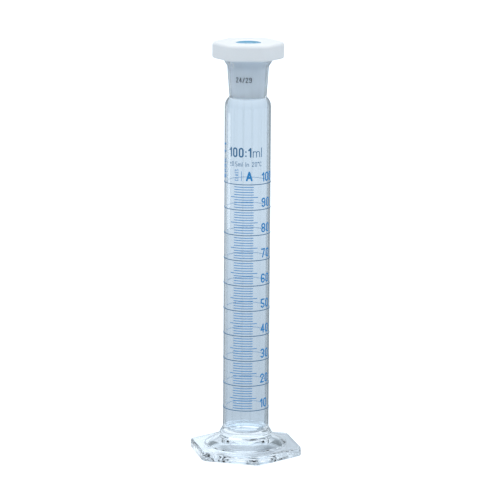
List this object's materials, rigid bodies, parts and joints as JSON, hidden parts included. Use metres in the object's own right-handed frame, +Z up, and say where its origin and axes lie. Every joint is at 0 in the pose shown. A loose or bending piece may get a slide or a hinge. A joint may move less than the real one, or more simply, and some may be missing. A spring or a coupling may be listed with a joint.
{
  "type": "mixing cylinder",
  "caption": "Graduated glass mixing cylinder on a hexagonal foot, with a tapered ground joint and a hollow hexagonal-head plastic stopper.",
  "frame": {"origin": "centre of the foot's underside, on the surface that it stands on", "axes": "+Z up along the barrel; the printed scale faces -Y"},
  "size_m": [0.0734, 0.0744, 0.2747],
  "materials": {
    "clear_glass": "polished, clear, very faint blue",
    "ground_glass": "clear outside, ground matt inside",
    "white_plastic": "satin, slightly waxy",
    "blue_plastic": "satin",
    "blue_enamel": "fired enamel, satin gloss",
    "black_enamel": "fired enamel, satin gloss"
  },
  "bodies": {
    "glass": {"barrel": "clear_glass", "neck_socket": "ground_glass", "hex_foot": "clear_glass", "scale_rings": "blue_enamel", "short_marks": "blue_enamel", "long_marks": "blue_enamel", "scale_numerals": "blue_enamel", "capacity_print": "blue_enamel", "tolerance_print": "blue_enamel", "class_print": "blue_enamel", "glass_mark": "blue_enamel", "joint_mark": "black_enamel"},
    "disc": {"size_disc": "blue_plastic"},
    "stopper": {"stopper": "white_plastic"}
  },
  "joints": [
    {"name": "stopper_lift", "type": "slide", "parent": "glass", "child": "disc", "axis": [0, 0, 1], "range_m": [0, 0.065]},
    {"name": "stopper_turn", "type": "hinge", "parent": "disc", "child": "stopper", "pos_m": [0, 0, 0.26], "axis": [0, 0, 1], "continuous": true}
  ]
}
